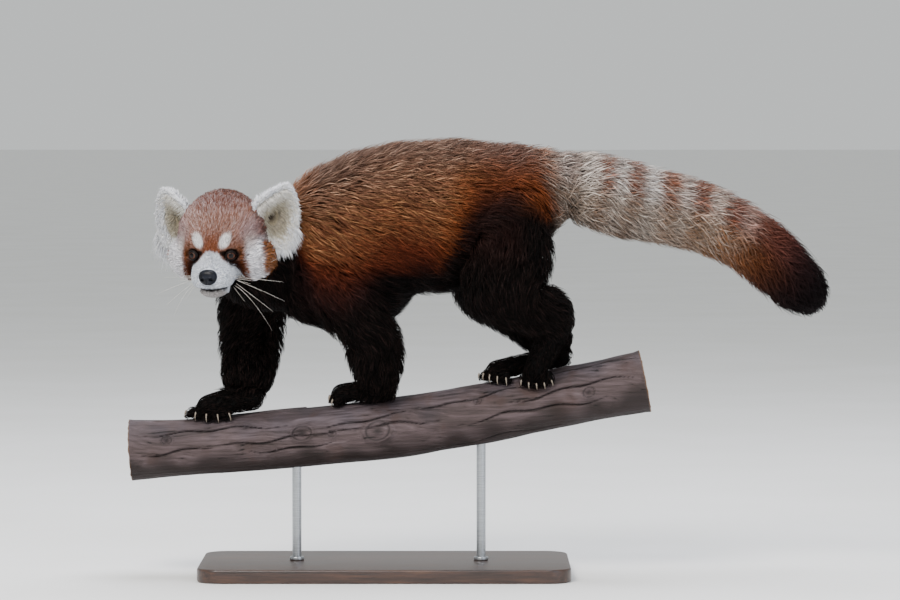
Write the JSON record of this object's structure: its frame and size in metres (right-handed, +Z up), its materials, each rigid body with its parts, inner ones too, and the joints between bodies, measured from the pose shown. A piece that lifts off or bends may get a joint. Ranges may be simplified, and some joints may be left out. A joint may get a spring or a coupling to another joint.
{
  "type": "red panda display model",
  "caption": "Life-size still model of a red panda walking along a cut branch, head turned to its left, long ringed tail held out behind, on a plain display stand with a flat base and rods.",
  "frame": {"origin": "centre of the display base's underside, on the floor", "axes": "+X from the animal's head towards its tail, along the branch; -Y is the animal's left side, the way that its head is turned; +Z up"},
  "size_m": [0.9113, 0.26, 0.5631],
  "materials": {
    "face_fur": "short fur, matt",
    "body_fur": "long coarse fur, matt with golden tips",
    "ear_fur": "short white fur, matt",
    "tail_fur": "long soft ringed fur, matt",
    "leg_fur": "dense black fur, matt",
    "claw": "smooth horn, satin",
    "eye": "wet, glossy",
    "nose_skin": "moist, finely pebbled",
    "branch_wood": "weathered, barkless, cracked",
    "stand_wood": "dark stained, satin lacquer",
    "stand_steel": "brushed"
  },
  "bodies": {
    "root": {"head": "face_fur", "jaw": "face_fur", "neck": "body_fur", "chest": "body_fur", "loin": "body_fur", "ear_left": "ear_fur", "ear_right": "ear_fur", "tail_1": "tail_fur", "tail_2": "tail_fur", "tail_3": "tail_fur", "tail_4": "tail_fur", "foreleg_left_upper": "leg_fur", "foreleg_left_lower": "leg_fur", "foreleg_right_upper": "leg_fur", "foreleg_right_lower": "leg_fur", "hindleg_left_upper": "leg_fur", "hindleg_left_lower": "leg_fur", "hindleg_right_upper": "leg_fur", "hindleg_right_lower": "leg_fur", "forefoot_left": "leg_fur", "forefoot_right": "leg_fur", "hindfoot_left": "leg_fur", "hindfoot_right": "leg_fur", "claw_forefoot_left_1": "claw", "claw_forefoot_left_2": "claw", "claw_forefoot_left_3": "claw", "claw_forefoot_left_4": "claw", "claw_forefoot_left_5": "claw", "claw_forefoot_right_1": "claw", "claw_forefoot_right_2": "claw", "claw_forefoot_right_3": "claw", "claw_forefoot_right_4": "claw", "claw_forefoot_right_5": "claw", "claw_hindfoot_left_1": "claw", "claw_hindfoot_left_2": "claw", "claw_hindfoot_left_3": "claw", "claw_hindfoot_left_4": "claw", "claw_hindfoot_left_5": "claw", "claw_hindfoot_right_1": "claw", "claw_hindfoot_right_2": "claw", "claw_hindfoot_right_3": "claw", "claw_hindfoot_right_4": "claw", "claw_hindfoot_right_5": "claw", "eye_left": "eye", "eye_right": "eye", "nose": "nose_skin", "branch": "branch_wood", "stand_base": "stand_wood", "stand_rod_1": "stand_steel", "stand_rod_2": "stand_steel"}
  },
  "joints": []
}
